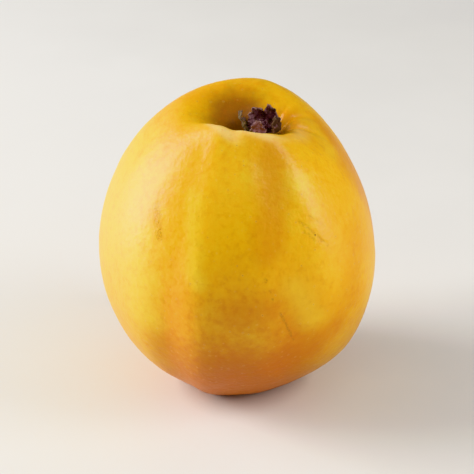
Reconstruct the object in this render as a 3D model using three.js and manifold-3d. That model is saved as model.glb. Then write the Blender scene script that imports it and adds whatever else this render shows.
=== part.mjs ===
// A quince, as picked: one golden pome with a dried calyx in its top basin and a stub of stalk below.
// Millimetres, +Z up. The fruit stands on its stem end; azimuth 0 faces -Y (the front) and grows towards +X.
import * as THREE from "three";
import { ParametricGeometry } from "three/addons/geometries/ParametricGeometry.js";
import { mergeVertices } from "three/addons/utils/BufferGeometryUtils.js";
import Module from "manifold-3d";

const { degToRad, euclideanModulo, seededRandom, smoothstep } = THREE.MathUtils;

// ---- driving dimensions: the fruit ----
// meridian [radius, height] about the fruit's own axis, from the stem cavity's floor to the crown
const MERIDIAN = [
  [0, 9.5],
  [4.2, 8.8],
  [8.5, 4.0],
  [14.0, 0.6],
  [21.0, 2.0],
  [30.0, 9.4],
  [38.4, 20.0],
  [43.9, 33.0],
  [46.0, 46.5],
  [44.6, 60.0],
  [40.4, 73.0],
  [34.4, 84.0],
  [27.4, 92.4],
  [19.2, 98.6],
  [9.5, 101.2],
  [0, 101.8],
];
// blunt ribs, and furrows where the height is negative, at three stations: stem end, waist and shoulder
const STATIONS = [0.22, 0.5, 0.74];
const RIBS = [
  { azimuth: [-24, -21, -30], height: [1.0, 0.6, 0.8], halfWidth: 16 },
  { azimuth: [-24, -14, -14], height: [0, 1.0, 0.15], halfWidth: 8 },
  { azimuth: [-50, -47, -48], height: [0, 0.7, 0.5], halfWidth: 11 },
  { azimuth: [-36, -31, -27], height: [0, -0.9, -0.4], halfWidth: 8 },
  { azimuth: [12, 8, 3], height: [0.2, 0.3, 0.4], halfWidth: 20 },
  { azimuth: [12, 9, 7], height: [0, 0.1, 0.4], halfWidth: 7 },
  { azimuth: [26, 23, 23], height: [0, -0.5, -0.4], halfWidth: 9 },
  { azimuth: [42, 40, 39], height: [0, 0.2, 0.4], halfWidth: 8 },
  { azimuth: [80, 60, 42], height: [2.3, 1.8, 1.0], halfWidth: 22 },
  { azimuth: [130, 102, 98], height: [0.0, -0.8, -0.8], halfWidth: 34 },
  { azimuth: [162, 170, 150], height: [3.7, 1.2, 1.6], halfWidth: 30 },
  { azimuth: [-108, -122, -104], height: [2.3, 0.3, 0.3], halfWidth: 24 },
  { azimuth: [-78, -62, -70], height: [0.8, 0.3, 0.4], halfWidth: 18 },
];
const RIBS_FADE_IN = [4, 16]; // distance from the axis over which the ribs grow
// the calyx basin: a wide dish with a narrower pit in it, both centred on the calyx
const CALYX_X = 8.6;
const CALYX_Y = -3.5;
const DISH = { depth: 5.4, radius: 21.5, widerLeft: 6.0, widerBack: 4.0 };
const PIT = { depth: 5.6, radius: 12.2 };
// lips that stand round the basin, and a dip where the height is negative: place and size seen from the calyx
const LIPS = [
  { azimuth: -50, distance: 18.5, height: 3.3, halfAngle: 22, halfWidth: 5.2 },
  { azimuth: -10, distance: 14.5, height: 3.6, halfAngle: 26, halfWidth: 4.0 },
  { azimuth: 84, distance: 14.5, height: -1.8, halfAngle: 34, halfWidth: 6.0 },
  { azimuth: 160, distance: 25.0, height: 0.5, halfAngle: 50, halfWidth: 8.0 },
  { azimuth: -150, distance: 26.0, height: 1.0, halfAngle: 40, halfWidth: 9.0 },
];
const CREASE = { azimuth: -98, depth: 3.4, halfAngle: 24, from: [3, 9], to: [0.45, 1.1] };
const LEAN_FRONT = degToRad(5); // the calyx end leans towards the front
const LEAN_LEFT = degToRad(1);
const REST_FLAT = 0.7; // how much of the lowest swellings is pressed flat where the fruit stands
const FRUIT_SIDES = 64;
const FRUIT_ROWS = 56;
const ROW_CROWDING = 0.05; // rows crowd towards both ends, where the cavities are
const CROWN_FROM = 0.6; // station above which the rows drift over, to close on the calyx
const CROWN_DRIFT = [2, 36]; // distances from the axis between which that drift fades out
const HALVINGS = 30; // of the search for a station on the crown
const WELD = 1e-4; // vertices closer than this are one

// ---- driving dimensions: the dried calyx, in its own frame on the basin's floor ----
const CALYX_SEAT = 91.0; // height of the basin's floor along the fruit's axis
const CUP = [
  [0, 0.5],
  [1.8, 0.8],
  [3.4, 1.9],
  [4.6, 3.1],
  [4.3, 3.7],
  [3.3, 3.0],
  [1.6, 2.3],
  [0, 2.1],
];
const CUP_SIDES = 20;
const SEPAL_THICK = 0.7;
const SEPAL_ROOT = { radius: 3.7, height: 2.5 };
const SEPAL_LENGTH_CELLS = 12;
const SEPAL_WIDTH_CELLS = 4;
const SEPAL_TEETH = 0.14; // share of the width by which the toothed edge steps in and out
const SEPAL_TAPER = { share: 0.72, power: 2.2 }; // share of the width lost by the tip
const SEPAL_CUPPING = 0.45; // how far the edges stand above the midrib at the root
const SEPAL_BEND_STEPS = 24;
const SEPALS = [
  { azimuth: -14, length: 6.8, width: 5.8, rise: 38, curl: 105, twist: 10 },
  { azimuth: 66, length: 8.0, width: 6.2, rise: 20, curl: 126, twist: -18 },
  { azimuth: 150, length: 7.8, width: 6.0, rise: 36, curl: 92, twist: 24 },
  { azimuth: 206, length: 8.6, width: 6.6, rise: 36, curl: 118, twist: -22 },
  { azimuth: 264, length: 8.4, width: 6.6, rise: 28, curl: 74, twist: 20 },
];
const STAMENS = { count: 15, radius: 0.32, root: 2.7, length: [3.4, 5.4], splay: [-26, 8] };
const STYLES = { count: 5, radius: 0.4, root: 0.7, length: [3.4, 4.4], splay: [-14, -4] };
const FILAMENT_SIDES = 5;
const FILAMENT_BASE = 1.9; // height at which the filaments are sunk into the cup
const FILAMENT_HEAD = 1.35; // the head's width over the foot's
const FILAMENT_STRAY = 0.3; // share of the spacing by which a filament stands out of turn

// ---- driving dimensions: the stalk stub, on the fruit's axis in the stem cavity ----
const STALK = [
  [0, 2.6],
  [1.7, 2.4],
  [2.5, 2.9],
  [2.6, 4.2],
  [2.2, 6.2],
  [2.5, 8.0],
  [2.7, 8.5],
  [0, 9.0],
];
const STALK_SIDES = 16;
const STALK_OVAL = 0.08;

// ---- small helpers ----
function turnBetween(from, to) {
  // shortest signed turn in degrees
  return euclideanModulo(to - from + 180, 360) - 180;
}

function bell(distance, halfWidth) {
  return Math.exp(-((distance / halfWidth) ** 2));
}

function hollow(share) {
  // 1 in the middle, 0 from share 1 outwards, with a smooth edge
  return (1 - Math.min(share, 1) ** 2) ** 2;
}

const leanFruit = new THREE.Matrix4()
  .makeRotationY(-LEAN_LEFT)
  .multiply(new THREE.Matrix4().makeRotationX(LEAN_FRONT));

// ---- the fruit's skin as one formula ----
const meridian = new THREE.SplineCurve(MERIDIAN.map(([x, y]) => new THREE.Vector2(x, y)));

function ribHeight(azimuth, station) {
  const toWaist = smoothstep(station, STATIONS[0], STATIONS[1]);
  const toShoulder = smoothstep(station, STATIONS[1], STATIONS[2]);
  let height = 0;
  for (const rib of RIBS) {
    const [a0, a1, a2] = rib.azimuth;
    const [h0, h1, h2] = rib.height;
    const centre = a0 + turnBetween(a0, a1) * toWaist + turnBetween(a1, a2) * toShoulder;
    const swell = h0 + (h1 - h0) * toWaist + (h2 - h1) * toShoulder;
    height += swell * bell(turnBetween(centre, azimuth), rib.halfWidth);
  }
  return height;
}

function basinDepth(x, y) {
  const dx = x - CALYX_X;
  const dy = y - CALYX_Y;
  const distance = Math.hypot(dx, dy);
  const angle = Math.atan2(dx, -dy);
  const azimuth = THREE.MathUtils.radToDeg(angle);
  const dishRadius = DISH.radius - DISH.widerLeft * Math.sin(angle) - DISH.widerBack * Math.cos(angle);
  const share = distance / dishRadius;
  let depth = DISH.depth * hollow(share) + PIT.depth * hollow(distance / PIT.radius);
  for (const lip of LIPS) {
    const aside = bell(turnBetween(lip.azimuth, azimuth), lip.halfAngle);
    depth -= lip.height * aside * bell(distance - lip.distance, lip.halfWidth);
  }
  const along = smoothstep(distance, ...CREASE.from) * (1 - smoothstep(share, ...CREASE.to));
  depth += CREASE.depth * along * bell(turnBetween(CREASE.azimuth, azimuth), CREASE.halfAngle);
  return depth;
}

function crownStation(radius) {
  // the station above the shoulder at which the meridian is this far from the axis
  let outer = CROWN_FROM;
  let inner = 1;
  for (let halving = 0; halving < HALVINGS; halving++) {
    const middle = (outer + inner) / 2;
    if (meridian.getPoint(middle).x > radius) outer = middle;
    else inner = middle;
  }
  return inner;
}

function towardsCalyx(angle, station) {
  // moves a grid point over the crown, so that the rows close on the calyx and not on the axis
  const radius = meridian.getPoint(station).x;
  const share = 1 - smoothstep(radius, ...CROWN_DRIFT);
  if (station < CROWN_FROM || share === 0) return [angle, station];
  const x = radius * Math.sin(angle) + share * CALYX_X;
  const y = -radius * Math.cos(angle) + share * CALYX_Y;
  return [Math.atan2(x, -y), crownStation(Math.hypot(x, y))];
}

function skinPoint(around, row, target) {
  const level = row - ROW_CROWDING * Math.sin(2 * Math.PI * row);
  const [angle, station] = towardsCalyx(2 * Math.PI * around, level);
  const azimuth = THREE.MathUtils.radToDeg(angle);
  const { x: radius, y: height } = meridian.getPoint(station);
  const tangent = meridian.getTangent(station);
  const swell = ribHeight(azimuth, station) * smoothstep(radius, ...RIBS_FADE_IN);
  const reach = radius + tangent.y * swell;
  target.set(reach * Math.sin(angle), -reach * Math.cos(angle), height - tangent.x * swell);
  if (station > 0.5) target.z -= basinDepth(target.x, target.y);
  target.applyMatrix4(leanFruit);
}

function fruitGeometry() {
  const geometry = new ParametricGeometry(skinPoint, FRUIT_SIDES, FRUIT_ROWS);
  const position = geometry.getAttribute("position");
  const ground = new THREE.Box3().setFromBufferAttribute(position).min.z + REST_FLAT;
  for (let i = 0; i < position.count; i++) {
    position.setZ(i, Math.max(position.getZ(i), ground));
  }
  return geometry;
}

// ---- solids ----
const wasm = await Module();
wasm.setup();

function toSolid(geometry) {
  const bare = geometry.clone().deleteAttribute("normal").deleteAttribute("uv");
  const merged = mergeVertices(bare, WELD);
  const vertProperties = merged.getAttribute("position").array;
  const triVerts = new Uint32Array(merged.index.array);
  return new wasm.Manifold(new wasm.Mesh({ numProp: 3, vertProperties, triVerts }));
}

function toGeometry(solid) {
  const { vertProperties, triVerts } = solid.getMesh();
  const geometry = new THREE.BufferGeometry();
  geometry.setAttribute("position", new THREE.BufferAttribute(vertProperties, 3));
  geometry.setIndex(new THREE.BufferAttribute(triVerts, 1));
  geometry.computeVertexNormals();
  return geometry;
}

function revolved(profile, sides) {
  // LatheGeometry turns about Y, so the piece is stood up on Z
  const points = profile.map(([radius, height]) => new THREE.Vector2(radius, height));
  return new THREE.LatheGeometry(points, sides).rotateX(Math.PI / 2);
}

// ---- the dried calyx ----
function sepalGeometry({ azimuth, length, width, rise, curl, twist }) {
  // a toothed blade, bent up and inwards along its length and cupped across its width
  const blade = new THREE.BoxGeometry(1, 1, 1, SEPAL_LENGTH_CELLS, SEPAL_WIDTH_CELLS, 1);
  const position = blade.getAttribute("position");
  const point = new THREE.Vector3();
  for (let i = 0; i < position.count; i++) {
    point.fromBufferAttribute(position, i);
    const along = point.x + 0.5;
    const across = 2 * point.y;
    const side = point.z * SEPAL_THICK;
    let radius = SEPAL_ROOT.radius;
    let height = SEPAL_ROOT.height;
    const step = along / SEPAL_BEND_STEPS;
    for (let k = 0; k < SEPAL_BEND_STEPS; k++) {
      const slope = degToRad(rise + curl * step * (k + 0.5));
      radius += Math.cos(slope) * step * length;
      height += Math.sin(slope) * step * length;
    }
    const bend = degToRad(rise + curl * along);
    const cell = Math.round(along * SEPAL_LENGTH_CELLS);
    const tooth = 1 + SEPAL_TEETH * (cell % 2 ? 1 : -1);
    const halfWidth = 0.5 * width * tooth * (1 - SEPAL_TAPER.share * along ** SEPAL_TAPER.power);
    const cupped = SEPAL_CUPPING * across ** 2 * (1 - along) + side;
    const roll = degToRad(twist * along);
    const sideways = halfWidth * across * Math.cos(roll);
    const lifted = cupped + halfWidth * across * Math.sin(roll);
    const outwards = radius - Math.sin(bend) * lifted;
    position.setXYZ(i, sideways, -outwards, height + Math.cos(bend) * lifted);
  }
  return blade.rotateZ(degToRad(azimuth));
}

function filaments({ count, radius, root, length, splay }) {
  const pieces = [];
  const draw = (range) => THREE.MathUtils.lerp(range[0], range[1], seededRandom());
  for (let i = 0; i < count; i++) {
    const tall = draw(length);
    const rod = new THREE.CylinderGeometry(radius * FILAMENT_HEAD, radius, tall, FILAMENT_SIDES);
    rod.rotateX(Math.PI / 2).translate(0, 0, tall / 2);
    rod.rotateX(degToRad(draw(splay)));
    rod.translate(0, -root, FILAMENT_BASE);
    rod.rotateZ((2 * Math.PI * (i + FILAMENT_STRAY * seededRandom())) / count);
    pieces.push(toSolid(rod));
  }
  return pieces;
}

function calyxGeometry() {
  seededRandom(7);
  const pieces = [
    toSolid(revolved(CUP, CUP_SIDES)),
    ...SEPALS.map((sepal) => toSolid(sepalGeometry(sepal))),
    ...filaments(STAMENS),
    ...filaments(STYLES),
  ];
  return toGeometry(wasm.Manifold.union(pieces));
}

// ---- the stalk stub ----
function stalkGeometry() {
  return revolved(STALK, STALK_SIDES).scale(1 + STALK_OVAL, 1 - STALK_OVAL, 1);
}

// ---- assembly ----
const skin = new THREE.MeshStandardMaterial({ color: 0xe6ae1c, roughness: 0.42, metalness: 0 });
const driedCalyx = new THREE.MeshStandardMaterial({ color: 0x4a3732, roughness: 0.9, metalness: 0 });
const wood = new THREE.MeshStandardMaterial({ color: 0x6b5138, roughness: 0.85, metalness: 0 });

function named(name, geometry, material) {
  const mesh = new THREE.Mesh(geometry, material);
  mesh.name = name;
  return mesh;
}

const fruit = named("fruit", fruitGeometry(), skin);
const calyx = named("calyx", calyxGeometry(), driedCalyx);
calyx.position.set(CALYX_X, CALYX_Y, CALYX_SEAT);
const stalk = named("stalk", stalkGeometry(), wood);

const axis = new THREE.Group(); // what grows along the fruit's own, leaning axis
axis.applyMatrix4(leanFruit);
axis.add(calyx, stalk);

const quince = new THREE.Group();
quince.add(fruit, axis);

// the origin is on the ground, under the middle of the fruit
const extent = new THREE.Box3().setFromObject(fruit);
const middle = extent.getCenter(new THREE.Vector3());
quince.position.set(-middle.x, -middle.y, -extent.min.z);

export default quince;
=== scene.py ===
"""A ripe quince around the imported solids: golden skin, dried calyx, stalk stub and the last of its down.

Lengths are millimetres here and metres in the scene. Azimuths are degrees from the front, growing
towards +X.
"""

import math

import bpy
import numpy as np
from bpy.props import FloatProperty, FloatVectorProperty, IntProperty, PointerProperty
from mathutils import Matrix, Vector, noise


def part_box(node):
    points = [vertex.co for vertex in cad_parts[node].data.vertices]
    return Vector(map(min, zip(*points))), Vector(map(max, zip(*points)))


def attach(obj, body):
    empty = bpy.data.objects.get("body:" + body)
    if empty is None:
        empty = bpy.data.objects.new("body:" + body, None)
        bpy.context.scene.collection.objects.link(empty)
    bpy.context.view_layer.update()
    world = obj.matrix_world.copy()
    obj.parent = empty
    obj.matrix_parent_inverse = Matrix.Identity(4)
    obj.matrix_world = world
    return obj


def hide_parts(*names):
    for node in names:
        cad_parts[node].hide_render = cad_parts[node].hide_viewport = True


bl_info = {
    "name": "Ripe quince",
    "version": (1, 0, 0),
    "blender": (4, 5, 0),
    "location": "3D View > Sidebar > Quince",
    "description": "Builds a ripe quince with its calyx and stalk stub in a soft studio",
    "category": "Add Mesh",
}

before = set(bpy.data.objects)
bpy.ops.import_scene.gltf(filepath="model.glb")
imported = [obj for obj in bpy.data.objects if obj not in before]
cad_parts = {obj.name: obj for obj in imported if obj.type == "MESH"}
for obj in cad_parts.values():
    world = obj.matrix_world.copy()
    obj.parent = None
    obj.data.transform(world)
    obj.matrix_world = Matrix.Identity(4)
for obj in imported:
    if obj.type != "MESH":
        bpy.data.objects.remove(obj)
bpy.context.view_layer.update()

MM = 0.001

# ---- the fruit's form, the same as the solids' ----
# meridian (radius, height) about the fruit's own axis, from the stem cavity's floor to the crown
MERIDIAN = (
    (0, 9.5), (4.2, 8.8), (8.5, 4.0), (14.0, 0.6), (21.0, 2.0), (30.0, 9.4), (38.4, 20.0), (43.9, 33.0),
    (46.0, 46.5), (44.6, 60.0), (40.4, 73.0), (34.4, 84.0), (27.4, 92.4), (19.2, 98.6), (9.5, 101.2),
    (0, 101.8),
)
STATIONS = (0.22, 0.5, 0.74)  # stem end, waist and shoulder
# blunt ribs and furrows: azimuths and heights at the three stations, and the half width in degrees
RIBS = (
    ((-24, -21, -30), (1.0, 0.6, 0.8), 16),
    ((-24, -14, -14), (0.0, 1.0, 0.15), 8),
    ((-50, -47, -48), (0.0, 0.7, 0.5), 11),
    ((-36, -31, -27), (0.0, -0.9, -0.4), 8),
    ((12, 8, 3), (0.2, 0.3, 0.4), 20),
    ((12, 9, 7), (0.0, 0.1, 0.4), 7),
    ((26, 23, 23), (0.0, -0.5, -0.4), 9),
    ((42, 40, 39), (0.0, 0.2, 0.4), 8),
    ((80, 60, 42), (2.3, 1.8, 1.0), 22),
    ((130, 102, 98), (0.0, -0.8, -0.8), 34),
    ((162, 170, 150), (3.7, 1.2, 1.6), 30),
    ((-108, -122, -104), (2.3, 0.3, 0.3), 24),
    ((-78, -62, -70), (0.8, 0.3, 0.4), 18),
)
RIBS_FADE_IN = (4, 16)
CALYX_X = 8.6
CALYX_Y = -3.5
DISH_DEPTH = 5.4
DISH_RADIUS = 21.5
DISH_WIDER_LEFT = 6.0
DISH_WIDER_BACK = 4.0
PIT_DEPTH = 5.6
PIT_RADIUS = 12.2
# lips round the basin: azimuth, distance, height, half angle, half width
LIPS = (
    (-50, 18.5, 3.3, 22, 5.2),
    (-10, 14.5, 3.6, 26, 4.0),
    (84, 14.5, -1.8, 34, 6.0),
    (160, 25.0, 0.5, 50, 8.0),
    (-150, 26.0, 1.0, 40, 9.0),
)
CREASE_AZIMUTH = -98
CREASE_DEPTH = 3.4
CREASE_HALF_ANGLE = 24
CREASE_FROM = (3, 9)
CREASE_TO = (0.45, 1.1)
LEAN_FRONT = math.radians(5)
LEAN_LEFT = math.radians(1)
REST_FLAT = 0.7
SOLID_SIDES = 64
SOLID_ROWS = 56
ROW_CROWDING = 0.05
CROWN_FROM = 0.6  # share of the meridian above which the rows close on the calyx
CROWN_DRIFT = (2, 36)  # distance from the axis over which they move less and less
CALYX_PLACE = (CALYX_X, CALYX_Y, 91.0)

# ---- finer form of the skin ----
SKIN_SIDES = 360
SKIN_ROWS = 260
TANGENT_STEP = 1e-4
CROWN_SAMPLES = 20001
TOP_HALF = 0.5  # share of the meridian above which the basin is cut
INWARDS = 0.07  # keeps the finer skin inside the faceted solid's box
# soft unevenness: size of the swellings and their depth
UNEVENNESS = ((17.0, 0.34), (7.5, 0.14), (3.4, 0.11))
# painted highlight along the basin's lips: azimuth and distance from the calyx, half angle, half width,
# strength
LIP_HIGHLIGHTS = (
    (-50, 17.9, 30, 2.6, 1.0),
    (-8, 13.9, 38, 2.0, 1.0),
    (76, 12.4, 42, 4.6, 0.55),
)
# painted shade on the basin's side by the calyx: azimuth from the calyx, and half angle
DUSK_AZIMUTH = -122
DUSK_ANGLE = 62
# distances from the calyx, or from the axis at the stem end, over which each of these fades out
DUSK_REACH = (7, 30)
BASIN_REACH = (4, 24)
PIT_REACH = (4.5, 9.5)
STEM_REACH = (3, 15)
# grooves that gather round the calyx: azimuth, depth, half width, where they begin and where they end
BASIN_GROOVES = (
    (78, 0.35, 0.9, 5, 15),
    (98, 1.0, 1.1, 5, 23),
    (121, 0.9, 1.2, 5, 24),
    (143, 0.6, 1.0, 4, 18),
    (-88, 0.55, 0.9, 4, 17),
    (-118, 0.5, 1.1, 4, 18),
)
GROOVE_GROWS = (0.6, 1.6)  # shares of its beginning between which a groove grows to its depth
GROOVE_FADES = 0.45  # share of its end from which it fades
BASIN_PLEATS = {
    "seed": 3, "count": 17, "depth": (0.12, 0.42), "half_width": (0.45, 0.8), "begin": 3.0, "end": (8, 13),
}
STEM_PLEATS = {
    "seed": 5, "count": 15, "depth": (0.15, 0.45), "half_width": (0.5, 0.9), "begin": 3.0, "end": (9, 14),
}
PLEAT_SHIFT = 0.35  # most that a gather lies off its even place, as a share of the spacing
PLEAT_WANDER = 1.6  # most that it turns aside, in degrees a millimetre

# ---- the skin's colour ----
# sizes of its broad drifts, patches, flecks, fine streaks and grain, of its soft relief and of its cork
DRIFT_SIZE = 26
PATCH_SIZE = 9
FLECK_SIZE = 2.4
STREAK_SIZE = 1.5
STREAK_STRETCH = (1.0, 1.0, 0.22)
GRAIN_SIZE = 0.55
RELIEF_SIZE = 1.7
CORK_SIZE = 1.6
SPECK_SPACING = 8.5
# painted light on one side, and painted shade low down, underneath and in the furrows, less of it on the
# flanks. From where to where each of these grows: x, distance from the middle, shares of the meridian, rib
# height
PAINTED_LIGHT_SIDE = (-14, -42)
FLANKS = (6, 32)
PAINTED_LOW_SHADE = (0.70, 0.40)
PAINTED_UNDERSIDE_SHADE = (0.54, 0.37)
PAINTED_FURROW_SHADE = (-0.1, -0.95)
# how strongly each layer covers the ones below it; furrows, underside, basin, dusk and pit are painted
# shade, lips a painted highlight
LAYERS = {
    "streaks": 0.2,
    "furrows": 0.55,
    "underside": 0.28,
    "basin": 0.14,
    "dusk": 0.95,
    "pit": 0.6,
    "lips": 0.95,
    "flecks": 0.16,
    "pore_rims": 0.14,
    "pores": 0.5,
    "specks": 0.75,
    "russet": 0.85,
}
# painted light and shade in soft bands: both ends in the row frame, half width, and strength, above 0 for
# painted light in lemon, below 0 for painted shade in ochre
PAINTED_LIGHT_AND_SHADE = (
    ((11.2, -26.5, 95.0), (10.4, -42.5, 68.5), 9.0, -0.42),
    ((-13.7, -34.3, 84.0), (-13.4, -44.8, 58.2), 5.0, 0.6),
    ((-33.5, -31.3, 60.5), (-30.1, -35.2, 43.2), 11.0, 0.6),
    ((7.9, -46.1, 47.4), (-0.6, -46.8, 47.8), 11.0, -0.4),
    ((19.0, -41.9, 54.7), (24.0, -38.0, 42.0), 8.0, 0.45),
    ((22.6, -2.5, 95.4), (30.2, -9.0, 88.2), 7.0, 0.4),
    ((39.2, -24.0, 64.0), (37.0, -29.0, 46.0), 10.0, -0.25),
    ((31.0, -32.5, 36.0), (13.0, -38.0, 25.0), 10.0, -0.5),
    ((-14.2, 4.9, 101.3), (2.0, 10.0, 102.5), 9.0, -0.25),
)
# rubs and scratches: both ends in the row frame, half width and strength
RUBS = (
    ((-25.6, -30.4, 79.2), (-24.9, -35.4, 70.2), 2.4, 0.55),
    ((19.6, -36.1, 76.6), (29.0, -34.6, 67.0), 0.9, 0.3),
    ((21.4, -36.9, 73.1), (26.5, -36.0, 68.2), 0.8, 0.3),
    ((23.0, -34.3, 77.4), (28.2, -32.7, 72.9), 0.7, 0.25),
    ((13.9, -44.2, 47.4), (18.3, -40.4, 35.3), 0.7, 0.4),
    ((9.1, -44.9, 60.2), (9.3, -45.0, 59.4), 1.0, 0.45),
    ((10.4, -45.1, 56.1), (10.9, -45.1, 55.6), 0.8, 0.5),
    ((11.3, -45.1, 52.6), (11.5, -45.1, 51.8), 0.7, 0.45),
)

# ---- the dried calyx, in its own frame on the basin's floor ----
CUP = ((0, 0.5), (1.8, 0.8), (3.4, 1.9), (4.6, 3.1), (4.3, 3.7), (3.3, 3.0), (1.6, 2.3), (0, 2.1))
SEPAL_ROOT_RADIUS = 3.7
SEPAL_ROOT_HEIGHT = 2.5
# azimuth, length, width, rise, curl and twist of each sepal
SEPALS = (
    (-14, 6.8, 5.8, 38, 105, 10),
    (66, 8.0, 6.2, 20, 126, -18),
    (150, 7.8, 6.0, 36, 92, 24),
    (206, 8.6, 6.6, 36, 118, -22),
    (264, 8.4, 6.6, 28, 74, 20),
)
# how green and how greyed each sepal is, in the same order
SEPAL_TONES = ((0.1, 0.9), (0.1, 0.15), (0.1, 0.7), (0.1, 0.95), (0.8, 0.4))
CUP_TONE = (0.15, 0.6)
STAMEN_TONE = (0.0, 0.8)
STAMEN_EDGE = 0.55
SEPAL_CELLS = (72, 36)
SEPAL_TAPER = 0.74  # share of its width that a sepal loses at the tip
SEPAL_TAPER_POWER = 2.2
SEPAL_TEETH = 7
SEPAL_TOOTH = 0.34
SEPAL_TOOTH_BACK = 0.4  # share of a tooth that cuts into the edge
SEPAL_TOOTH_LOSS = 0.6  # share of its size that is lost at the tip
SEPAL_TOOTH_SHIFTS = (0.13, 0.3)  # from one sepal to the next, and from edge to edge
SEPAL_MARGIN = (0.45, 1.0)
SEPAL_CRUMPLES = ((2.6, 1.1), (1.2, 0.5), (0.5, 0.14))  # size and depth
SEPAL_CRUMPLES_GROW = (0.0, 0.25)
SEPAL_NOISE_STEP = 9.0  # keeps the crumples of one sepal unlike the next one's
SEPAL_RUFFLE = 0.4
SEPAL_RUFFLE_SHIFTS = (0.37, 0.2)  # from one sepal to the next, and from the middle to an edge
SEPAL_FOLD = 0.45
SEPAL_FOLD_LOSS = 0.4
SEPAL_SWAY = 1.2
SEPAL_SWAY_BENDS = 1.5
SEPAL_SWAY_STEP = 3.7
CUP_CELLS = (40, 48)
CUP_LUMPS = (1.3, 0.22)  # size and height
CUP_LUMPS_GROW = (0.2, 1.5)  # distances from its axis over which they grow
FILAMENT_CELLS = (12, 8)
STAMENS = {"count": 15, "radius": 0.15, "root": 2.7, "length": (3.4, 5.4), "splay": (-26, 8)}
STYLES = {"count": 5, "radius": 0.2, "root": 0.7, "length": (3.4, 4.4), "splay": (-14, -4)}
FILAMENT_BASE = 1.9
FILAMENT_TAPER = (1.15, 0.5)  # thickness at the foot, and how much is lost by the tip
FILAMENT_HEAD = (1.5, 0.9, 0.09)  # thickness, place along the thread and half length of the head
FILAMENT_SWAY = 0.5
FILAMENT_WAVE = (0.25, 3)  # size, and radians over the length
FILAMENT_SHIFT = 0.4  # most that a thread stands off its even place, as a share of the spacing

# ---- the stalk stub, on the fruit's axis ----
STALK = ((0, 2.6), (1.7, 2.4), (2.5, 2.9), (2.6, 4.2), (2.2, 6.2), (2.5, 8.0), (2.7, 8.5), (0, 9.0))
STALK_CELLS = (64, 72)
STALK_OVAL = 0.08
STALK_FIBRES = (0.5, 0.05)  # size and depth
STALK_FIBRES_STRETCH = (1, 1, 0.15)
STALK_KNOBS = (1.8, 0.06)
STALK_TORN = (0.16, 0.3)  # shares of the profile over which the torn end turns to bark
STALK_TEAR = 0.35
STALK_TEAR_GROWS = (0, 0.03)

# ---- the down ----
DOWN_PLACES = (("pit", 0.6), ("stem", 0.5))
DOWN_GATHERS = 1.5  # above 1, the hairs gather where a place is at its strongest
HAIR_RADIUS = 0.022
HAIR_SHORTEST = 0.35
HAIR_LAY = 0.55
HAIR_SCATTER = 0.12
HAIR_SUNK = 0.08
HAIR_CURL = 0.35
HAIR_LEVELS = (0.0, 0.4, 0.75)
HAIR_TURN = 2.094  # a third of a turn
OFF_THE_GROUND = 0.05

# ---- the studio ----
FLOOR_REACH = 4.0
# name, direction from the fruit, distance and size in metres, setting for the power, and colour
LIGHTS = (
    ("left_softbox", (-0.92, 0.12, 0.32), 0.75, (0.5, 0.75), "key", (1.0, 0.98, 0.95)),
    ("right_strip", (0.84, -0.24, 0.463), 0.8, (0.30, 0.7), "strip", (1.0, 0.97, 0.93)),
    ("overhead", (0.0, -0.62, 0.78), 0.9, (0.9, 0.6), "top", (1.0, 0.99, 0.97)),
)
ROOM_COLOUR = (1.0, 0.99, 0.97)


# ---- numbers ----
def catmull_rom(points, share):
    """The uniform spline through the points at shares of its length from 0 to 1."""
    points = np.asarray(points, float)
    last = len(points) - 1
    place = last * share
    index = np.minimum(np.floor(place).astype(int), last - 1)
    weight = (place - index)[..., None]
    before = points[np.maximum(index - 1, 0)]
    start = points[index]
    end = points[index + 1]
    after = points[np.minimum(index + 2, last)]
    leave = (end - before) / 2
    arrive = (after - start) / 2
    cubic = 2 * start - 2 * end + leave + arrive
    square = -3 * start + 3 * end - 2 * leave - arrive
    return ((cubic * weight + square) * weight + leave) * weight + start


def smooth_step(value, low, high):
    share = np.clip((value - low) / (high - low), 0, 1)
    return share * share * (3 - 2 * share)


def turn_between(start, end):
    """The shortest turn from one azimuth to another, with its sign."""
    return (end - start + 180) % 360 - 180


def bell(distance, half_width):
    return np.exp(-((distance / half_width) ** 2))


def hollow(share):
    """1 in the middle, 0 from share 1 outwards, with a smooth edge."""
    return (1 - np.minimum(share, 1) ** 2) ** 2


def roughness_at(points, size, seed):
    """Smooth noise from about -1 to 1 at each point, with swellings of that size."""
    shift = Vector((7.13, 3.71, 5.37)) * seed
    return np.array([noise.noise(Vector(point) / size + shift) for point in points.reshape(-1, 3)])


# ---- the skin as one formula ----
def rib_height(azimuth, station):
    to_waist = smooth_step(station, STATIONS[0], STATIONS[1])
    to_shoulder = smooth_step(station, STATIONS[1], STATIONS[2])
    total = 0
    for (a0, a1, a2), (h0, h1, h2), half_width in RIBS:
        centre = a0 + turn_between(a0, a1) * to_waist + turn_between(a1, a2) * to_shoulder
        swell = h0 + (h1 - h0) * to_waist + (h2 - h1) * to_shoulder
        total = total + swell * bell(turn_between(centre, azimuth), half_width)
    return total


def seen_from(x, y, centre_x, centre_y):
    """Distance and azimuth of points seen from a centre."""
    dx = x - centre_x
    dy = y - centre_y
    return np.hypot(dx, dy), np.degrees(np.arctan2(dx, -dy))


def basin_depth(x, y):
    distance, azimuth = seen_from(x, y, CALYX_X, CALYX_Y)
    angle = np.radians(azimuth)
    share = distance / (DISH_RADIUS - DISH_WIDER_LEFT * np.sin(angle) - DISH_WIDER_BACK * np.cos(angle))
    depth = DISH_DEPTH * hollow(share) + PIT_DEPTH * hollow(distance / PIT_RADIUS)
    for lip_azimuth, lip_distance, height, half_angle, half_width in LIPS:
        aside = bell(turn_between(lip_azimuth, azimuth), half_angle)
        depth = depth - height * aside * bell(distance - lip_distance, half_width)
    along = smooth_step(distance, *CREASE_FROM) * (1 - smooth_step(share, *CREASE_TO))
    aside = bell(turn_between(CREASE_AZIMUTH, azimuth), CREASE_HALF_ANGLE)
    return depth + CREASE_DEPTH * along * aside


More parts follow.
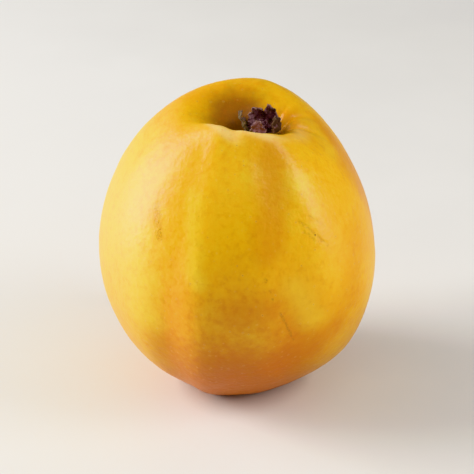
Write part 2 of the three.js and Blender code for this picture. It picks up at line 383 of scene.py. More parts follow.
def lip_highlight_share(distance, azimuth):
    """Where a highlight is painted: 1 along the basin's lips, fading to 0 off them."""
    total = 0
    for lip_azimuth, lip_distance, half_angle, half_width, strength in LIP_HIGHLIGHTS:
        near = strength * bell(distance - lip_distance, half_width)
        total = total + bell(turn_between(lip_azimuth, azimuth), half_angle) * near
    return np.minimum(total, 1)


def basin_shade_share(distance, azimuth):
    """Where shade is painted: 1 on the basin's side by the calyx, fading to 0 up its walls."""
    return (1 - smooth_step(distance, *DUSK_REACH)) * bell(turn_between(DUSK_AZIMUTH, azimuth), DUSK_ANGLE)


def towards_calyx(angle, station):
    """Moves grid points over the crown, so that the rows close on the calyx and not on the axis."""
    radius = catmull_rom(MERIDIAN, station)[..., 0]
    share = (1 - smooth_step(radius, *CROWN_DRIFT)) * (station >= CROWN_FROM)
    x = radius * np.sin(angle) + share * CALYX_X
    y = -radius * np.cos(angle) + share * CALYX_Y
    crown = np.linspace(1, CROWN_FROM, CROWN_SAMPLES)
    crown_radius = catmull_rom(MERIDIAN, crown)[:, 0]
    moved = np.interp(np.hypot(x, y), crown_radius, crown)
    return np.where(share > 0, np.arctan2(x, -y), angle), np.where(share > 0, moved, station)


def groove(distance, azimuth, centre, half_width, begin, end):
    """A radial groove of constant width, 1 deep in its middle and faded at both ends."""
    aside = np.radians(turn_between(centre, azimuth)) * distance
    from_here, to_here = GROOVE_GROWS
    grown = smooth_step(distance, from_here * begin, to_here * begin)
    return grown * (1 - smooth_step(distance, GROOVE_FADES * end, end)) * bell(aside, half_width)


def pleats(distance, azimuth, seed, count, depth, half_width, begin, end):
    """Small gathers all round a centre, none like its neighbour."""
    draw = np.random.default_rng(seed)
    total = 0
    for index in range(count):
        centre = 360 * (index + draw.uniform(-PLEAT_SHIFT, PLEAT_SHIFT)) / count
        wander = draw.uniform(-PLEAT_WANDER, PLEAT_WANDER)
        deep = draw.uniform(*depth)
        wide = draw.uniform(*half_width)
        far = draw.uniform(*end)
        total = total + deep * groove(distance, azimuth, centre + wander * distance, wide, begin, far)
    return total


def lean_matrix():
    lean = Matrix.Rotation(-LEAN_LEFT, 3, "Y") @ Matrix.Rotation(LEAN_FRONT, 3, "X")
    return np.array(lean)


def skin_grid(sides, rows, fine):
    """Points of the skin on the leaning fruit, row by row, and what the colours need to know at each."""
    level = np.linspace(0, 1, rows + 1)
    level = level - ROW_CROWDING * np.sin(2 * np.pi * level)
    angle, station = np.meshgrid(np.linspace(0, 2 * np.pi, sides, endpoint=False), level)
    angle, station = towards_calyx(angle, station)
    radius, height = np.moveaxis(catmull_rom(MERIDIAN, station), -1, 0)
    ahead = catmull_rom(MERIDIAN, np.minimum(station + TANGENT_STEP, 1))
    behind = catmull_rom(MERIDIAN, np.maximum(station - TANGENT_STEP, 0))
    run = ahead - behind
    outwards, upwards = np.moveaxis(run / np.linalg.norm(run, axis=-1, keepdims=True), -1, 0)
    ribs = rib_height(np.degrees(angle), station) * smooth_step(radius, *RIBS_FADE_IN)
    swell = ribs
    if fine:
        around = radius + upwards * ribs
        place = np.stack([around * np.sin(angle), -around * np.cos(angle), height - outwards * ribs], -1)
        swell = swell - INWARDS
        for number, (size, deep) in enumerate(UNEVENNESS):
            swell = swell - deep * (0.5 + 0.5 * roughness_at(place, size, number + 1)).reshape(swell.shape)
        stem_distance, stem_azimuth = seen_from(place[..., 0], place[..., 1], 0, 0)
        swell = swell - (station < STATIONS[0]) * pleats(stem_distance, stem_azimuth, **STEM_PLEATS)
    reach = radius + upwards * swell
    x = reach * np.sin(angle)
    y = -reach * np.cos(angle)
    depth = basin_depth(x, y)
    distance, azimuth = seen_from(x, y, CALYX_X, CALYX_Y)
    if fine:
        for centre, deep, half_width, begin, end in BASIN_GROOVES:
            depth = depth + deep * groove(distance, azimuth, centre, half_width, begin, end)
        depth = depth + pleats(distance, azimuth, **BASIN_PLEATS)
    top = station > TOP_HALF
    z = height - outwards * swell - depth * top
    points = np.stack([x, y, z], -1) @ lean_matrix().T
    fields = {
        "basin": np.where(top, 1 - smooth_step(distance, *BASIN_REACH), 0),
        "pit": np.where(top, 1 - smooth_step(distance, *PIT_REACH), 0),
        "stem": np.where(top, 0, 1 - smooth_step(reach, *STEM_REACH)),
        # lip says where a highlight is painted, dusk where shade is painted
        "lip": np.where(top, lip_highlight_share(distance, azimuth), 0),
        "dusk": np.where(top, basin_shade_share(distance, azimuth), 0),
        "rib": ribs,
        "rise": station,
    }
    return points, fields


def origin_shift():
    """The ground plane's height and the middle of the solid's box, on the leaning fruit."""
    points, _ = skin_grid(SOLID_SIDES, SOLID_ROWS, fine=False)
    low = points.reshape(-1, 3).min(0)
    high = points.reshape(-1, 3).max(0)
    return np.array([(low[0] + high[0]) / 2, (low[1] + high[1]) / 2, low[2] + REST_FLAT])


def on_axis(points, place):
    """Takes points from a frame at that place on the leaning fruit to the row frame."""
    return (np.asarray(points) + place) @ lean_matrix().T - origin_shift()


# ---- meshes ----
def new_piece(name, points, faces, finish):
    """A smooth-shaded mesh object from points in millimetres, on the one rigid body."""
    mesh = bpy.data.meshes.new(name)
    mesh.from_pydata((np.asarray(points) * MM).tolist(), [], faces)
    mesh.update()
    mesh.shade_smooth()
    mesh.materials.append(finish)
    piece = bpy.data.objects.new(name, mesh)
    bpy.context.scene.collection.objects.link(piece)
    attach(piece, "root")
    return piece


def write_field(piece, name, values):
    """Stores one number a vertex for the material to read."""
    attribute = piece.data.attributes.new(name, "FLOAT", "POINT")
    attribute.data.foreach_set("value", np.asarray(values, np.float32).ravel())


def ring_faces(rows, around, start=0):
    """Faces of a closed form: rings of vertices between one vertex at the start and one at the end."""
    first = start + 1
    faces = []
    for row in range(rows - 1):
        low = first + row * around
        high = low + around
        for i in range(around):
            j = (i + 1) % around
            faces.append((low + i, low + j, high + j, high + i))
    top = first + rows * around
    last = top - around
    for i in range(around):
        j = (i + 1) % around
        faces.append((start, first + j, first + i))
        faces.append((last + i, last + j, top))
    return faces


def closed_rows(grid):
    """Vertices of a grid whose first and last rows have shrunk to a point."""
    width = grid.shape[-1] if grid.ndim == 3 else 1
    middle = grid[1:-1].reshape(-1, width)
    return np.vstack([grid[0].reshape(-1, width)[:1], middle, grid[-1].reshape(-1, width)[:1]])


def revolved(profile, steps, around):
    """Rings of a turned form, and the share along the profile of each."""
    share = np.linspace(0, 1, steps + 1)
    radius, height = np.moveaxis(catmull_rom(profile, share), -1, 0)
    radius = np.maximum(radius, 0)
    angle = np.linspace(0, 2 * np.pi, around, endpoint=False)
    x = radius[:, None] * np.sin(angle)
    y = -radius[:, None] * np.cos(angle)
    return np.stack([x, y, np.repeat(height[:, None], around, 1)], -1), share


# ---- shader arithmetic ----
class Wire:
    """A shader socket that takes part in Python arithmetic by adding Math nodes."""

    def __init__(self, finish, socket):
        self.finish = finish
        self.socket = socket

    def math(self, operation, *values):
        return self.finish.node("ShaderNodeMath", {"operation": operation}, dict(enumerate(values)))

    def __add__(self, other):
        return self.math("ADD", self, other)

    def __sub__(self, other):
        return self.math("SUBTRACT", self, other)

    def __rsub__(self, other):
        return self.math("SUBTRACT", other, self)

    def __mul__(self, other):
        return self.math("MULTIPLY", self, other)

    def __truediv__(self, other):
        return self.math("DIVIDE", self, other)

    def __pow__(self, other):
        return self.math("POWER", self, other)

    __radd__ = __add__
    __rmul__ = __mul__


class Finish:
    """A material whose nodes are added one call at a time."""

    def __init__(self, name):
        self.material = bpy.data.materials.new(name)
        self.material.use_nodes = True
        self.tree = self.material.node_tree
        self.tree.nodes.clear()

    def node(self, kind, settings=None, inputs=None, output=0):
        made = self.tree.nodes.new(kind)
        for name, value in (settings or {}).items():
            setattr(made, name, value)
        for name, value in (inputs or {}).items():
            if isinstance(value, Wire):
                self.tree.links.new(value.socket, made.inputs[name])
            else:
                made.inputs[name].default_value = value
        return Wire(self, made.outputs[output] if made.outputs else None)

    def place(self):
        """Where on the object, in millimetres."""
        coordinates = self.node("ShaderNodeTexCoord", output="Object")
        return self.scaled(coordinates, 1 / MM)

    def scaled(self, vector, factor):
        return self.node("ShaderNodeVectorMath", {"operation": "SCALE"}, {0: vector, "Scale": factor})

    def stretched(self, vector, factors):
        return self.node("ShaderNodeVectorMath", {"operation": "MULTIPLY"}, {0: vector, 1: factors})

    def shifted(self, vector, other):
        return self.node("ShaderNodeVectorMath", {"operation": "ADD"}, {0: vector, 1: other})

    def field(self, name):
        return self.node("ShaderNodeAttribute", {"attribute_name": name}, output="Fac")

    def noise(self, vector, size, detail=2.0, roughness=0.5):
        values = {"Vector": vector, "Scale": 1 / size, "Detail": detail, "Roughness": roughness}
        return self.node("ShaderNodeTexNoise", inputs=values)

    def bent(self, vector, size, amount):
        """The vector pushed about by noise of that size, so that what follows it has ragged edges."""
        values = {"Vector": vector, "Scale": 1 / size, "Detail": 1.0}
        push = self.node("ShaderNodeTexNoise", inputs=values, output="Color")
        push = self.shifted(push, (-0.5, -0.5, -0.5))
        return self.shifted(vector, self.scaled(push, amount))

    def cells(self, vector, spacing, output="Distance"):
        values = {"Vector": vector, "Scale": 1 / spacing}
        return self.node("ShaderNodeTexVoronoi", inputs=values, output=output)

    def axis(self, vector, name):
        return self.node("ShaderNodeSeparateXYZ", inputs={0: vector}, output=name)

    def channel(self, colour, name):
        return self.node("ShaderNodeSeparateColor", inputs={0: colour}, output=name)

    def ease(self, value, low, high):
        """0 below low, 1 above high, smooth between; falling if low is above high."""
        if low > high:
            return 1 - self.ease(value, high, low)
        values = {"Value": value, "From Min": low, "From Max": high}
        return self.node("ShaderNodeMapRange", {"interpolation_type": "SMOOTHSTEP"}, values)

    def mix(self, factor, first, second):
        """Blends two colours. Sockets 6 and 7 and output 2 are the node's colour ones."""
        return self.node("ShaderNodeMix", {"data_type": "RGBA"}, {0: factor, 6: first, 7: second}, 2)

    def segment_distance(self, vector, start, end):
        """Distance in millimetres from a straight line between two points."""
        start = Vector(start)
        run = Vector(end) - start
        offset = self.shifted(vector, tuple(-start))
        dot = {"operation": "DOT_PRODUCT"}
        share = self.node("ShaderNodeVectorMath", dot, {0: offset, 1: tuple(run)}, "Value")
        share = self.node("ShaderNodeClamp", inputs={"Value": share / run.length_squared})
        aside = self.shifted(offset, self.scaled(tuple(-run), share))
        return self.node("ShaderNodeVectorMath", {"operation": "LENGTH"}, {0: aside}, "Value")

    def surface(self, height=None, **values):
        """Ends the material in one Principled shader. height is relief in millimetres."""
        if height is not None:
            values["Normal"] = self.node("ShaderNodeBump", inputs={"Height": height, "Distance": MM})
        shader = self.node("ShaderNodeBsdfPrincipled", inputs=values)
        self.node("ShaderNodeOutputMaterial", inputs={"Surface": shader})
        return self.material


def opaque(colour):
    return (*colour, 1.0)


# ---- settings a user would change ----
def colour_property(name, description, default):
    return FloatVectorProperty(
        name=name, description=description, subtype="COLOR", min=0, max=1, default=default
    )


def length_property(name, description, default, low, high):
    """A length in metres."""
    return FloatProperty(
        name=name, description=description, unit="LENGTH", min=low, max=high, default=default
    )


def power_property(name, description, default):
    return FloatProperty(name=name, description=description, unit="POWER", min=0, default=default)


class QuinceSkinSettings(bpy.types.PropertyGroup):
    """Sizes and colours of the skin."""

    golden: colour_property("Golden", "The ripe skin's main colour", (0.885, 0.475, 0.004))
    # lemon is also the painted light on one side, on the ribs and in the lighter bands
    lemon: colour_property("Lemon", "The lighter yellow of one side and the ribs", (0.89, 0.645, 0.05))
    # ochre is also the painted shade low down, in the furrows, over the basin and in the deeper bands
    ochre: colour_property("Ochre", "The deeper colour in furrows and low down", (0.60, 0.155, 0.002))
    # umber is also the painted shade on the basin's side, in the pit and underneath, and the colour of the
    # rubs
    umber: colour_property("Umber", "The dull colour of the basin's downy side", (0.30, 0.10, 0.003))
    # cream is also the painted highlight along the basin's lips, besides the pale rims of pores
    cream: colour_property("Cream", "The pale skin along the basin's lips", (0.99, 0.72, 0.26))
    russet: colour_property("Russet", "Corky skin round the calyx and stalk", (0.30, 0.125, 0.022))
    speck: colour_property("Specks", "Small blemishes", (0.16, 0.055, 0.012))
    pore_spacing: length_property("Pore spacing", "Distance between pores", 0.0021, 0.0005, 0.01)
    roughness: FloatProperty(
        name="Roughness", description="How dull the skin is", subtype="FACTOR", min=0, max=1, default=0.40
    )


class QuinceCalyxSettings(bpy.types.PropertyGroup):
    """Sizes and colours of the dried calyx."""

    bark: colour_property("Dry brown", "The dried sepals' main colour", (0.055, 0.018, 0.012))
    mauve: colour_property("Mauve", "The greyed, downy face of the sepals", (0.31, 0.165, 0.200))
    olive: colour_property("Olive", "What is left of the sepals' green", (0.12, 0.105, 0.016))
    thickness: length_property("Sepal thickness", "Thickness of a sepal", 0.00038, 0.0001, 0.001)


class QuinceStalkSettings(bpy.types.PropertyGroup):
    """Colours of the stalk stub."""

    bark: colour_property("Bark", "The stub's bark", (0.12, 0.065, 0.030))
    wood: colour_property("Torn wood", "The end where the stalk broke off", (0.33, 0.215, 0.11))


class QuinceDownSettings(bpy.types.PropertyGroup):
    """The down left in the basin and the stem cavity."""

    colour: colour_property("Down", "The down's colour", (0.52, 0.40, 0.27))
    count: IntProperty(name="Hairs", description="How many hairs are left", min=0, max=20000, default=2600)
    length: length_property("Hair length", "Longest hair", 0.0011, 0.0002, 0.005)


class QuinceStageSettings(bpy.types.PropertyGroup):
    """The studio: floor, lights and camera."""

    floor: colour_property("Floor", "The floor's colour", (0.82, 0.815, 0.80))
    key: power_property("Left softbox", "Power of the large left softbox", 10.8)
    strip: power_property("Right strip", "Power of the narrow right light", 4.4)
    top: power_property("Overhead", "Power of the overhead light", 0.8)
    room: FloatProperty(
        name="Room light", description="Strength of the even light of the room", min=0, default=0.25
    )
    elevation: FloatProperty(
        name="Camera elevation",
        description="Angle above the horizon",
        unit="ROTATION",
        default=math.radians(28),
    )
    distance: length_property("Camera distance", "From the fruit's middle", 1.095, 0.2, 20.0)
    focal_length: FloatProperty(
        name="Focal length", description="In millimetres", min=20, max=600, default=252.0
    )


class QuinceSettings(bpy.types.PropertyGroup):
    """All the quince's settings."""

    skin: PointerProperty(type=QuinceSkinSettings)
    calyx: PointerProperty(type=QuinceCalyxSettings)
    stalk: PointerProperty(type=QuinceStalkSettings)
    down: PointerProperty(type=QuinceDownSettings)
    stage: PointerProperty(type=QuinceStageSettings)


# ---- finishes ----
class SkinFinish(Finish):
    """The ripe skin, laid on layer by layer."""

    def __init__(self, settings):
        super().__init__("ripe_skin")
        self.settings = settings
        self.where = self.place()
        self.rib = self.field("rib")
        self.rise = self.field("rise")
        self.drift = self.noise(self.where, DRIFT_SIZE, detail=1.0)
        self.patch = self.noise(self.where, PATCH_SIZE, detail=3.0, roughness=0.55)
        self.fleck = self.noise(self.where, FLECK_SIZE, detail=3.0, roughness=0.6)
        self.grain = self.noise(self.where, GRAIN_SIZE, detail=2.0, roughness=0.6)

    def paint(self, share, colour, tone):
        return self.mix(share, colour, opaque(getattr(self.settings, tone)))

    def layer(self, name, share, colour, tone):
        return self.paint(share * LAYERS[name], colour, tone)

    def ground(self):
        """Golden, with lemon patches and streaks, painted light on one side and on the ribs, and painted
        shade in furrows, low down and underneath.
        """
        across = self.axis(self.where, "X")
        side = self.ease(across, *PAINTED_LIGHT_SIDE)
        near, far = FLANKS
        flank = self.ease(across * across, near**2, far**2)
        # lemon over the random patches, and painted light on the -X side and on the ribs
        light = self.drift * 0.55 + self.patch * 0.45 + self.rib * 0.06 + side * 0.4
        mottled = self.ease(self.fleck * 0.7 + self.grain * 0.3, 0.4, 0.64)
        light = self.ease(self.ease(light, 0.46, 0.95) * 0.82 + mottled * 0.18, 0.0, 0.95)
        colour = self.paint(light, opaque(self.settings.golden), "lemon")
        drawn_out = self.stretched(self.where, STREAK_STRETCH)
        streak = self.noise(drawn_out, STREAK_SIZE, detail=3.0, roughness=0.6)
        streaks = self.ease(streak * 0.6 + self.grain * 0.4, 0.4, 0.66)
        colour = self.layer("streaks", streaks, colour, "lemon")
        # painted shade: deeper ochre low down, less of it on the flanks
        low = self.rise + (self.drift - 0.5) * 0.16 + (self.fleck - 0.5) * 0.1 + self.rib * 0.02
        colour = self.paint(self.ease(low, *PAINTED_LOW_SHADE) * (1 - flank * 0.6), colour, "ochre")
        # painted shade: ochre in the furrows
        furrows = self.ease(self.rib + (self.patch - 0.5) * 0.6, *PAINTED_FURROW_SHADE)
        colour = self.layer("furrows", furrows, colour, "ochre")
        # painted shade: dull umber on the underside
        underside = self.ease(self.rise + (self.patch - 0.5) * 0.1, *PAINTED_UNDERSIDE_SHADE)
        return self.layer("underside", underside, colour, "umber")

    def paint_light_and_shade(self, colour):
        # painted light in lemon bands and painted shade in ochre bands
        wavy = self.bent(self.where, 8.0, 5.0)
        for start, end, half_width, strength in PAINTED_LIGHT_AND_SHADE:
            near = self.ease(self.segment_distance(wavy, start, end), half_width, 0.1 * half_width)
            colour = self.paint(near * abs(strength), colour, "lemon" if strength > 0 else "ochre")
        return colour

    def basin(self, colour, pit, dusk):
        """Painted shade over the basin, on its side by the calyx and in the pit, and a painted highlight
        along the lips.
        """
        # painted shade: ochre over the basin round the calyx
        inside = self.ease(self.field("basin") + (self.patch - 0.5) * 0.3, 0.1, 0.9)
        colour = self.layer("basin", inside, colour, "ochre")
        # painted shade: umber on the basin's side by the calyx
        colour = self.layer("dusk", dusk, colour, "umber")
        # painted shade: umber in the pit round the calyx
        colour = self.layer("pit", self.ease(pit, 0.1, 0.9), colour, "umber")
        # painted highlight: cream along the basin's lips
        lips = self.ease(self.field("lip"), 0.15, 0.95) * (self.patch * 0.8 + 0.4)
        return self.layer("lips", lips, colour, "cream")

    def pores(self, colour):
        """Small dark points, some with a paler rim."""
        bent = self.bent(self.where, 3.0, 1.2)
        spacing = self.settings.pore_spacing / MM
        distance = self.cells(bent, spacing)
        chance = self.channel(self.cells(bent, spacing, "Color"), "Red")
        there = self.ease(chance, 0.25, 0.9)
        rim = self.ease(distance, 0.3, 0.12) * there
        point = self.ease(distance, 0.13, 0.04) * there
        colour = self.layer("pore_rims", rim, colour, "cream")
        return self.layer("pores", point, colour, "russet"), point

    def blemishes(self, colour):
        """Scattered specks, and the rubs and scratches that the fruit got from its neighbours."""
        ragged = self.bent(self.where, 0.5, 0.35)
        distance = self.cells(ragged, SPECK_SPACING)
        size = self.channel(self.cells(ragged, SPECK_SPACING, "Color"), "Green")
        specks = self.ease(distance - size**5 * 0.055, 0.02, 0.006)
        scuffed = self.bent(self.where, 1.6, 1.1)
        rub = 0
        for start, end, half_width, strength in RUBS:
            distance = self.segment_distance(scuffed, start, end)
            rub = rub + self.ease(distance, half_width, 0.2 * half_width) * strength
        colour = self.layer("specks", specks, colour, "speck")
        return self.paint(rub * self.ease(self.grain, 0.3, 0.6), colour, "umber"), specks, rub


def skin_finish(settings):
    finish = SkinFinish(settings)
    patch = finish.patch
    fleck = finish.fleck
    pit = finish.field("pit")
    # where shade is painted on the basin's side by the calyx
    dusk = finish.ease(finish.field("dusk") + (patch - 0.5) * 0.5, 0.1, 0.8)
    # painted light and shade in soft bands over the ground colour
    colour = finish.paint_light_and_shade(finish.ground())
    colour = finish.basin(colour, pit, dusk)
    colour = finish.layer("flecks", finish.ease(fleck, 0.5, 0.3), colour, "ochre")
    colour, point = finish.pores(colour)
    colour, specks, rub = finish.blemishes(colour)

    # corky russet in the pit and the stem cavity
    corky = finish.noise(finish.where, CORK_SIZE, detail=5.0, roughness=0.7)
    russet = finish.ease(corky + pit * 0.5 + finish.field("stem") * 0.42, 0.82, 1.04)
    colour = finish.layer("russet", russet, colour, "russet")

    rough = settings.roughness + (patch - 0.5) * 0.16 + (fleck - 0.5) * 0.12 + russet * 0.3 + dusk * 0.1
    soft = finish.noise(finish.where, RELIEF_SIZE)
    height = soft * 0.2 + finish.grain * 0.014 - point * 0.03 - specks * 0.03 - rub * 0.05
    return finish.surface(
        height + russet * corky * 0.10,
        **{
            "Base Color": colour,
            "Roughness": rough,
            "Subsurface Weight": 0.10,
            "Subsurface Radius": (1.0, 0.5, 0.12),
            "Subsurface Scale": 0.0022,
            "Specular IOR Level": 0.46,
            "Coat Weight": 0.05,
            "Coat Roughness": 0.36,
        },
    )


def dried_finish(settings):
    downy_edge = (0.27, 0.17, 0.11)
    deep_shade = (0.02, 0.009, 0.007)
    finish = Finish("dried_calyx")
    where = finish.place()
    crumb = finish.noise(where, 0.7, detail=4.0, roughness=0.65)
    broad = finish.noise(where, 2.2)
    faded = finish.ease(broad + (finish.field("greyed") - 0.5) * 0.4, 0.42, 0.62)
    colour = finish.mix(faded * 0.85, opaque(settings.bark), opaque(settings.mauve))
    green = finish.field("green") * finish.ease(crumb, 0.35, 0.6)
    colour = finish.mix(green, colour, opaque(settings.olive))
    downy = finish.ease(finish.field("edge") + (crumb - 0.5) * 0.8, 0.65, 1.0)
    colour = finish.mix(downy * 0.45, colour, opaque(downy_edge))
    colour = finish.mix(finish.ease(crumb, 0.5, 0.3) * 0.6, colour, opaque(deep_shade))
    veins = finish.noise(finish.stretched(where, (1.0, 1.0, 0.4)), 0.35)
    return finish.surface(
        crumb * 0.12 + veins * 0.05,
        **{"Base Color": colour, "Roughness": 0.85, "Sheen Weight": 0.1, "Sheen Roughness": 0.6},
    )


def bark_finish(settings):
    pale_fibre = (0.20, 0.125, 0.07)
    dark_patch = (0.05, 0.028, 0.016)
    finish = Finish("stalk_bark")
    where = finish.place()
    fibre = finish.noise(finish.stretched(where, (1.0, 1.0, 0.25)), 0.35, detail=4.0, roughness=0.65)
    patch = finish.noise(where, 1.3, detail=3.0)
    colour = finish.mix(finish.ease(fibre, 0.35, 0.65), opaque(settings.bark), opaque(pale_fibre))
    colour = finish.mix(finish.ease(patch, 0.55, 0.7) * 0.5, colour, opaque(dark_patch))
    torn = finish.field("torn") * finish.ease(fibre, 0.2, 0.6)
    colour = finish.mix(torn, colour, opaque(settings.wood))
    return finish.surface(fibre * 0.12, **{"Base Color": colour, "Roughness": 0.88})


def down_finish(settings):
    shaded = (0.36, 0.25, 0.15)
    finish = Finish("down")
    tone = finish.noise(finish.place(), 1.2, detail=1.0)
    colour = finish.mix(finish.ease(tone, 0.4, 0.6), opaque(settings.colour), opaque(shaded))
    return finish.surface(**{"Base Color": colour, "Roughness": 0.7, "Sheen Weight": 0.3})


def floor_finish(settings):
    finish = Finish("studio_floor")
    mottle = finish.noise(finish.place(), 60, detail=3.0)
    darker = tuple(0.97 * part for part in settings.floor)
    colour = finish.mix(finish.ease(mottle, 0.3, 0.7), opaque(darker), opaque(settings.floor))
    return finish.surface(**{"Base Color": colour, "Roughness": 0.75})


# ---- the pieces ----
class QUINCE_OT_skin(bpy.types.Operator):
    """Grows the skin over the fruit solid"""

    bl_idname = "quince.skin"
    bl_label = "Skin"

    def execute(self, context):
        settings = context.scene.quince.skin
        grid, fields = skin_grid(SKIN_SIDES, SKIN_ROWS, fine=True)
        grid = grid - origin_shift()
        grid[..., 2] = np.maximum(grid[..., 2], 0)
        faces = ring_faces(SKIN_ROWS - 1, SKIN_SIDES)
        piece = new_piece("skin", closed_rows(grid), faces, skin_finish(settings))
        for name, values in fields.items():
            write_field(piece, name, closed_rows(values))
        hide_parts("fruit")
        return {"FINISHED"}


def sepal_half_width(along, across, width, seed):
    """Narrows to the tip, and has teeth that lean forwards along both edges."""
    next_sepal, other_edge = SEPAL_TOOTH_SHIFTS
    saw = (along * SEPAL_TEETH + next_sepal * seed + other_edge * np.sign(across)) % 1.0
    margin = smooth_step(np.abs(across), *SEPAL_MARGIN)
    tooth = SEPAL_TOOTH * (saw - SEPAL_TOOTH_BACK) * margin * (1 - SEPAL_TOOTH_LOSS * along)
    return 0.5 * width * (1 - SEPAL_TAPER * along**SEPAL_TAPER_POWER) * (1 + tooth)


def sepal_lift(along, across, half_width, length, seed):
    """How far a sepal stands off its smooth curve: folded along its middle, ruffled and crumpled."""
    flat = np.stack([half_width * across, along * length, np.full_like(along, SEPAL_NOISE_STEP * seed)], -1)
    crumple = np.zeros(along.size)
    for number, (size, amount) in enumerate(SEPAL_CRUMPLES):
        crumple += amount * roughness_at(flat, size, seed + 7 * number)
    crumple = crumple.reshape(along.shape) * smooth_step(along, *SEPAL_CRUMPLES_GROW)
    next_sepal, to_edge = SEPAL_RUFFLE_SHIFTS
    wave = along * SEPAL_TEETH / 2 + next_sepal * seed + to_edge * across
    ruffle = SEPAL_RUFFLE * smooth_step(np.abs(across), *SEPAL_MARGIN) * np.sin(2 * np.pi * wave)
    folded = SEPAL_FOLD * np.abs(across) * half_width * (1 - SEPAL_FOLD_LOSS * along)
    return folded + ruffle + crumple


def sepal_grid(azimuth, length, width, rise, curl, twist, seed):
    """One dried sepal as a crumpled sheet with toothed edges, in the calyx's own frame."""
    cells_along, cells_across = SEPAL_CELLS
    along, across = np.meshgrid(
        np.linspace(0, 1, cells_along + 1), np.linspace(-1, 1, cells_across + 1), indexing="ij"
    )
    slope = math.radians(rise)
    turn = math.radians(curl)
    bend = slope + turn * along
    radius = SEPAL_ROOT_RADIUS + length * (np.sin(bend) - math.sin(slope)) / turn
    height = SEPAL_ROOT_HEIGHT - length * (np.cos(bend) - math.cos(slope)) / turn
    half_width = sepal_half_width(along, across, width, seed)
    bends = np.stack([along * SEPAL_SWAY_BENDS, along * 0, along * 0 + SEPAL_SWAY_STEP * seed], -1)
    sway = roughness_at(bends, 1.0, 5)
    roll = np.radians(twist * along)
    sideways = half_width * across * np.cos(roll) + SEPAL_SWAY * sway.reshape(along.shape) * along
    lifted = sepal_lift(along, across, half_width, length, seed) + half_width * across * np.sin(roll)
    outwards = radius - np.sin(bend) * lifted
    points = np.stack([sideways, -outwards, height + np.cos(bend) * lifted], -1)
    spin = np.array(Matrix.Rotation(math.radians(azimuth), 3, "Z"))
    edge = np.maximum(np.abs(across) ** 2, along**3)
    return points @ spin.T, edge


def sheet_faces(cells_along, cells_across, start):
    faces = []
    for i in range(cells_along):
        for j in range(cells_across):
            low = start + i * (cells_across + 1) + j
            high = low + cells_across + 1
            faces.append((low, low + 1, high + 1, high))
    return faces


def write_tones(piece, edge, tone):
    """Stores how near each vertex is to an edge, and how green and how greyed it is."""
    count = len(piece.data.vertices)
    tone = np.broadcast_to(tone, (count, 2))
    write_field(piece, "edge", np.broadcast_to(edge, count))
    write_field(piece, "green", tone[:, 0])
    write_field(piece, "greyed", tone[:, 1])


def make_sepals(finish, thickness):
    points, faces, edges, tones = [], [], [], []
    count = 0
    for number, sepal in enumerate(SEPALS):
        grid, edge = sepal_grid(*sepal, seed=number + 1)
        faces += sheet_faces(*SEPAL_CELLS, count)
        points.append(grid.reshape(-1, 3))
        edges.append(edge.ravel())
        tones.append(np.tile(SEPAL_TONES[number], (edge.size, 1)))
        count += edge.size
    placed = on_axis(np.vstack(points), CALYX_PLACE)
    sepals = new_piece("calyx_sepals", placed, faces, finish)
    write_tones(sepals, np.concatenate(edges), np.concatenate(tones))
    thicken = sepals.modifiers.new("thickness", "SOLIDIFY")
    thicken.thickness = thickness
    thicken.offset = 0
    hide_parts("calyx")


def make_cup(finish):
    steps, around = CUP_CELLS
    grid, _ = revolved(CUP, steps, around)
    size, tall = CUP_LUMPS
    lumps = tall * roughness_at(grid, size, 21).reshape(grid.shape[:2])
    grid[..., 2] += lumps * smooth_step(np.hypot(grid[..., 0], grid[..., 1]), *CUP_LUMPS_GROW)
    placed = on_axis(closed_rows(grid), CALYX_PLACE)
    cup = new_piece("calyx_cup", placed, ring_faces(steps - 1, around), finish)
    write_tones(cup, 0.0, CUP_TONE)


def add_filaments(points, faces, draw, count, radius, root, length, splay):
    """Bent, tapering threads with a shrivelled head, standing in a ring."""
    rings, around = FILAMENT_CELLS
    angle = np.linspace(0, 2 * np.pi, around, endpoint=False)
    share = np.linspace(0, 1, rings)
    foot, lost = FILAMENT_TAPER
    head, head_place, head_half_length = FILAMENT_HEAD
    wave, turns = FILAMENT_WAVE
    for index in range(count):
        tall = draw.uniform(*length)
        tilt = math.radians(draw.uniform(*splay))
        sway = draw.uniform(-FILAMENT_SWAY, FILAMENT_SWAY, 2)
        thick = radius * (foot - lost * share + head * bell(share - head_place, head_half_length))
        thick[0] = thick[-1] = 0
        centre_x = sway[0] * share**2
        centre_y = sway[1] * share**2 + wave * np.sin(turns * share)
        x = centre_x[:, None] + thick[:, None] * np.sin(angle)
        y = centre_y[:, None] - thick[:, None] * np.cos(angle)
        z = np.repeat((tall * share)[:, None], around, 1)
        grid = np.stack([x, y, z], -1)
        tip = np.array(Matrix.Rotation(tilt, 3, "X"))
        azimuth = 2 * math.pi * (index + draw.uniform(0, FILAMENT_SHIFT)) / count
        spin = np.array(Matrix.Rotation(azimuth, 3, "Z"))
        grid = (grid @ tip.T + (0, -root, FILAMENT_BASE)) @ spin.T
        start = sum(len(rows) for rows in points)
        points.append(closed_rows(grid))
        faces += ring_faces(rings - 2, around, start)


def make_filaments(finish):
    draw = np.random.default_rng(7)
    points, faces = [], []
    for kind in (STAMENS, STYLES):
        add_filaments(points, faces, draw, **kind)
    placed = on_axis(np.vstack(points), CALYX_PLACE)
    stamens = new_piece("calyx_stamens", placed, faces, finish)
    write_tones(stamens, STAMEN_EDGE, STAMEN_TONE)


class QUINCE_OT_calyx(bpy.types.Operator):
    """Makes the dried calyx: sepals on a cup, with stamens and styles"""

    bl_idname = "quince.calyx"
    bl_label = "Calyx"

    def execute(self, context):
        settings = context.scene.quince.calyx
        finish = dried_finish(settings)
        make_sepals(finish, settings.thickness)
        make_cup(finish)
        make_filaments(finish)
        return {"FINISHED"}


